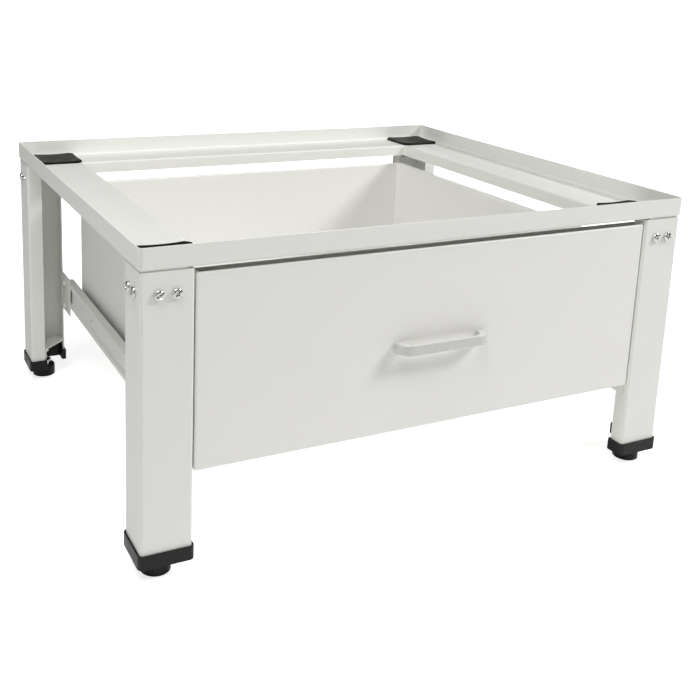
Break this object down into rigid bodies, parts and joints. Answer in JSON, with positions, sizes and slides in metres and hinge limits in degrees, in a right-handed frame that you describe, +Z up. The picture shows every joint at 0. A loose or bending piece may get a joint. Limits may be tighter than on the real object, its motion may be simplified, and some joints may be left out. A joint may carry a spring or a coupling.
{
  "type": "washing machine pedestal with drawer",
  "caption": "Folded-sheet pedestal that raises a front-loading washing machine on rubber pads, with a full-width drawer on telescopic runners and levelling feet",
  "frame": {"origin": "on the floor, at the middle of the whole object's outline seen from above", "axes": "+Z up, the drawer opens towards -Y, +X to the right of someone who faces the drawer"},
  "size_m": [0.6334, 0.5556, 0.32],
  "materials": {
    "frame_coat": "off-white powder coat, fine texture, semi-matt",
    "drawer_coat": "off-white powder coat, semi-matt",
    "handle_coat": "white powder coat with a soft gloss on a die-cast bow",
    "runner_coat": "light grey-white coat on rolled steel",
    "runner_steel": "bright zinc-plated rolled steel",
    "zinc": "bright zinc plate on fasteners",
    "black_plastic": "moulded black plastic, fine-grained, satin edges",
    "black_rubber": "black rubber with a smooth moulded dish"
  },
  "bodies": {
    "frame": {"rim_front": "frame_coat", "rim_rear": "frame_coat", "rim_left": "frame_coat", "rim_right": "frame_coat", "corner_bracket_fl": "frame_coat", "leg_fl": "frame_coat", "foot_gusset_fl": "frame_coat", "runner_bracket_fl": "frame_coat", "corner_bracket_fr": "frame_coat", "leg_fr": "frame_coat", "foot_gusset_fr": "frame_coat", "runner_bracket_fr": "frame_coat", "corner_bracket_rl": "frame_coat", "leg_rl": "frame_coat", "foot_gusset_rl": "frame_coat", "runner_bracket_rl": "frame_coat", "corner_bracket_rr": "frame_coat", "leg_rr": "frame_coat", "foot_gusset_rr": "frame_coat", "runner_bracket_rr": "frame_coat", "foot_cap_fl": "black_plastic", "foot_cap_fr": "black_plastic", "foot_cap_rl": "black_plastic", "foot_cap_rr": "black_plastic", "rubber_pad_fl": "black_rubber", "rubber_pad_fr": "black_rubber", "rubber_pad_rl": "black_rubber", "rubber_pad_rr": "black_rubber", "leg_screws": "zinc", "leg_nuts": "zinc", "gusset_nuts": "zinc", "runner_outer_left": "runner_coat", "runner_outer_right": "runner_coat"},
    "drawer": {"drawer_front": "drawer_coat", "drawer_inner_front": "drawer_coat", "drawer_side_left": "drawer_coat", "drawer_side_right": "drawer_coat", "drawer_back": "drawer_coat", "drawer_floor": "drawer_coat", "front_nuts": "zinc", "handle": "handle_coat", "handle_screws": "zinc", "runner_screws": "zinc", "runner_inner_left": "runner_steel", "runner_inner_right": "runner_steel"},
    "runner_middle_left": {"runner_middle_left": "runner_steel"},
    "outer_cage_left": {"outer_cage_left": "runner_steel"},
    "inner_cage_left": {"inner_cage_left": "runner_steel"},
    "runner_middle_right": {"runner_middle_right": "runner_steel"},
    "outer_cage_right": {"outer_cage_right": "runner_steel"},
    "inner_cage_right": {"inner_cage_right": "runner_steel"},
    "foot_fl": {"foot_pad_fl": "black_plastic", "foot_stud_fl": "zinc"},
    "foot_fr": {"foot_pad_fr": "black_plastic", "foot_stud_fr": "zinc"},
    "foot_rl": {"foot_pad_rl": "black_plastic", "foot_stud_rl": "zinc"},
    "foot_rr": {"foot_pad_rr": "black_plastic", "foot_stud_rr": "zinc"}
  },
  "joints": [
    {"name": "drawer_slide", "type": "slide", "parent": "frame", "child": "drawer", "axis": [0, -1, 0], "range_m": [0, 0.42]},
    {"name": "runner_middle_left_slide", "type": "slide", "parent": "frame", "child": "runner_middle_left", "axis": [0, -1, 0], "range_m": [0, 0.21]},
    {"name": "outer_cage_left_slide", "type": "slide", "parent": "frame", "child": "outer_cage_left", "axis": [0, -1, 0], "range_m": [0, 0.105]},
    {"name": "inner_cage_left_slide", "type": "slide", "parent": "frame", "child": "inner_cage_left", "axis": [0, -1, 0], "range_m": [0, 0.315]},
    {"name": "runner_middle_right_slide", "type": "slide", "parent": "frame", "child": "runner_middle_right", "axis": [0, -1, 0], "range_m": [0, 0.21]},
    {"name": "outer_cage_right_slide", "type": "slide", "parent": "frame", "child": "outer_cage_right", "axis": [0, -1, 0], "range_m": [0, 0.105]},
    {"name": "inner_cage_right_slide", "type": "slide", "parent": "frame", "child": "inner_cage_right", "axis": [0, -1, 0], "range_m": [0, 0.315]},
    {"name": "foot_fl_level", "type": "slide", "parent": "frame", "child": "foot_fl", "axis": [0, 0, -1], "range_m": [0, 0.01]},
    {"name": "foot_fr_level", "type": "slide", "parent": "frame", "child": "foot_fr", "axis": [0, 0, -1], "range_m": [0, 0.01]},
    {"name": "foot_rl_level", "type": "slide", "parent": "frame", "child": "foot_rl", "axis": [0, 0, -1], "range_m": [0, 0.01]},
    {"name": "foot_rr_level", "type": "slide", "parent": "frame", "child": "foot_rr", "axis": [0, 0, -1], "range_m": [0, 0.01]}
  ],
  "couplings": [
    {"joint": "runner_middle_left_slide", "follows": "drawer_slide", "ratio": 0.5},
    {"joint": "outer_cage_left_slide", "follows": "drawer_slide", "ratio": 0.25},
    {"joint": "inner_cage_left_slide", "follows": "drawer_slide", "ratio": 0.75},
    {"joint": "runner_middle_right_slide", "follows": "drawer_slide", "ratio": 0.5},
    {"joint": "outer_cage_right_slide", "follows": "drawer_slide", "ratio": 0.25},
    {"joint": "inner_cage_right_slide", "follows": "drawer_slide", "ratio": 0.75}
  ]
}
